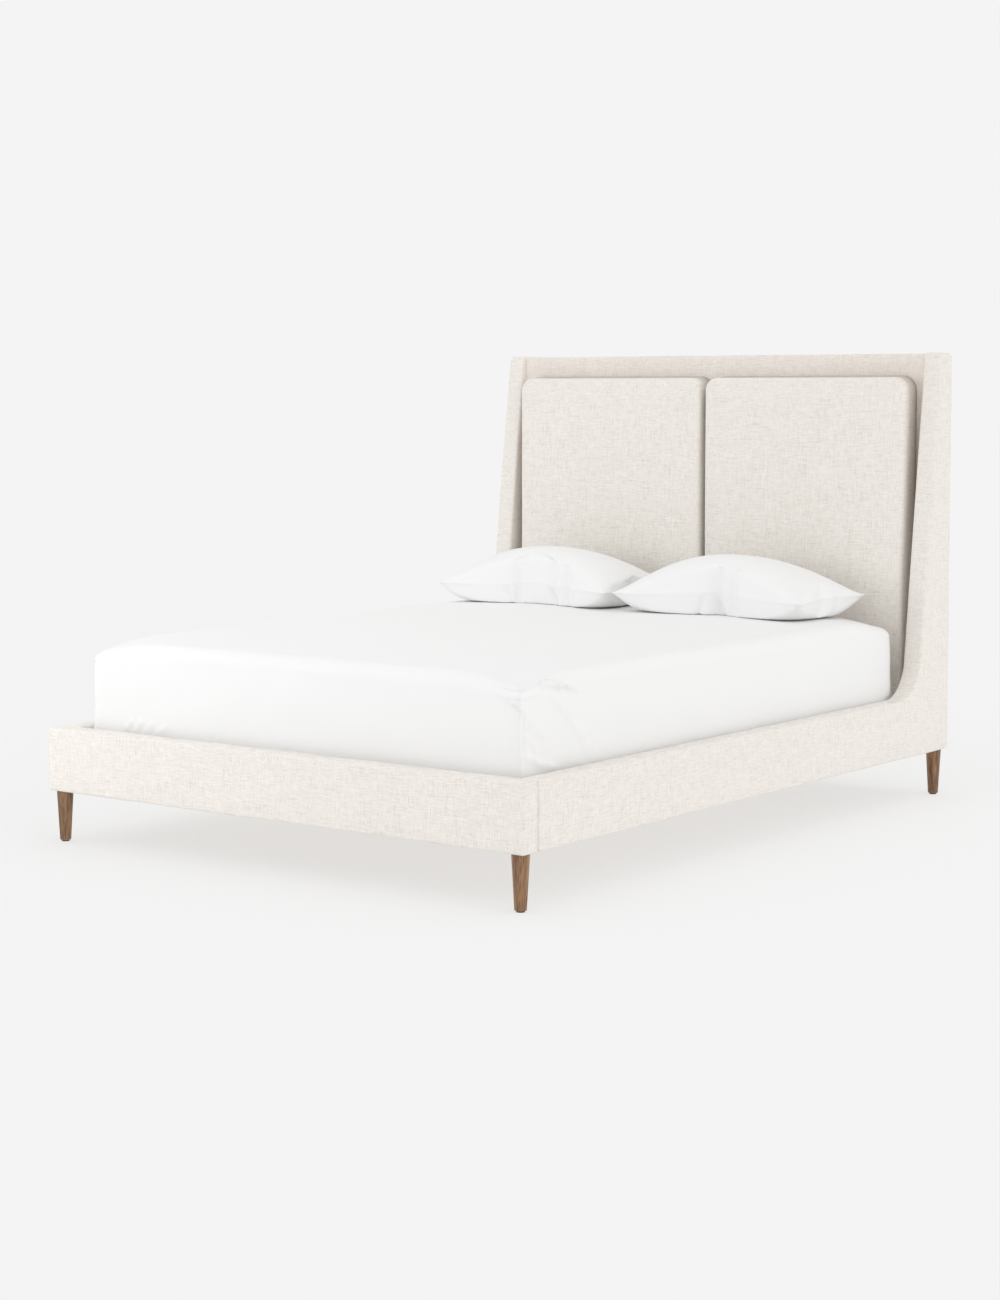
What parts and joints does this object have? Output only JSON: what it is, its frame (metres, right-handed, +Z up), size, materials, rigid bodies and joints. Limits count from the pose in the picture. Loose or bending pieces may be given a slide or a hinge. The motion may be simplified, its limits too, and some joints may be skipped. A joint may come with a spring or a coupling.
{
  "type": "upholstered headboard bed",
  "caption": "Low linen-upholstered bed with a tall winged headboard, padded headboard panels, tapered wooden legs, a slatted base, a sheeted mattress and pillows.",
  "frame": {"origin": "on the floor, under the middle of the bed", "axes": "+Z up, +Y from the foot towards the headboard, +X to the right when looking at the headboard"},
  "size_m": [1.694, 2.345, 1.42],
  "materials": {
    "linen": "matte",
    "back_cloth": "matte",
    "board_timber": "matte",
    "slat_timber": "matte",
    "plywood": "matte",
    "foam": "matte",
    "leg_wood": "satin",
    "steel": "satin",
    "brass": "satin",
    "black_plastic": "matte",
    "ticking": "matte",
    "white_cotton": "matte"
  },
  "bodies": {
    "frame": {"foot_rail_cover": "linen", "side_cover_left": "linen", "side_cover_right": "linen", "headboard_cover": "linen", "panel_cover_left": "linen", "panel_cover_right": "linen", "headboard_back_cloth": "back_cloth", "foot_rail_board": "board_timber", "side_board_left": "board_timber", "side_board_right": "board_timber", "headboard_top_timber": "board_timber", "headboard_middle_timber": "board_timber", "headboard_bottom_timber": "board_timber", "headboard_stile_left": "board_timber", "headboard_stile_middle": "board_timber", "headboard_stile_right": "board_timber", "cleat_left": "board_timber", "cleat_right": "board_timber", "centre_rail": "board_timber", "centre_leg_front": "board_timber", "centre_leg_rear": "board_timber", "slat_01": "slat_timber", "slat_02": "slat_timber", "slat_03": "slat_timber", "slat_04": "slat_timber", "slat_05": "slat_timber", "slat_06": "slat_timber", "slat_07": "slat_timber", "slat_08": "slat_timber", "slat_09": "slat_timber", "slat_10": "slat_timber", "slat_11": "slat_timber", "slat_12": "slat_timber", "headboard_plywood": "plywood", "panel_board_left": "plywood", "panel_board_right": "plywood", "panel_foam_left": "foam", "panel_foam_right": "foam", "leg_front_left": "leg_wood", "leg_front_right": "leg_wood", "leg_rear_left": "leg_wood", "leg_rear_right": "leg_wood", "panel_bolts": "steel", "base_screws": "steel", "leg_bolts": "steel", "corner_brackets": "steel", "bracket_bolts": "steel", "headboard_bolts": "steel", "centre_rail_cradles": "steel", "leg_inserts": "brass", "centre_leg_inserts": "brass", "leg_glides": "black_plastic"},
    "levelling_foot_front": {"levelling_foot_front": "black_plastic"},
    "levelling_foot_rear": {"levelling_foot_rear": "black_plastic"},
    "mattress": {"mattress": "ticking", "fitted_sheet": "white_cotton"},
    "pillow_left": {"pillow_left": "ticking", "pillowcase_left": "white_cotton"},
    "pillow_right": {"pillow_right": "ticking", "pillowcase_right": "white_cotton"}
  },
  "joints": [
    {"name": "levelling_foot_front_travel", "type": "slide", "parent": "frame", "child": "levelling_foot_front", "axis": [0, 0, -1], "range_m": [0, 0.02]},
    {"name": "levelling_foot_rear_travel", "type": "slide", "parent": "frame", "child": "levelling_foot_rear", "axis": [0, 0, -1], "range_m": [0, 0.02]},
    {"name": "mattress_lift", "type": "slide", "parent": "frame", "child": "mattress", "axis": [0, 0, 1], "range_m": [0, 0.45]},
    {"name": "pillow_left_lift", "type": "slide", "parent": "mattress", "child": "pillow_left", "axis": [0, 0, 1], "range_m": [0, 0.3]},
    {"name": "pillow_right_lift", "type": "slide", "parent": "mattress", "child": "pillow_right", "axis": [0, 0, 1], "range_m": [0, 0.3]}
  ]
}
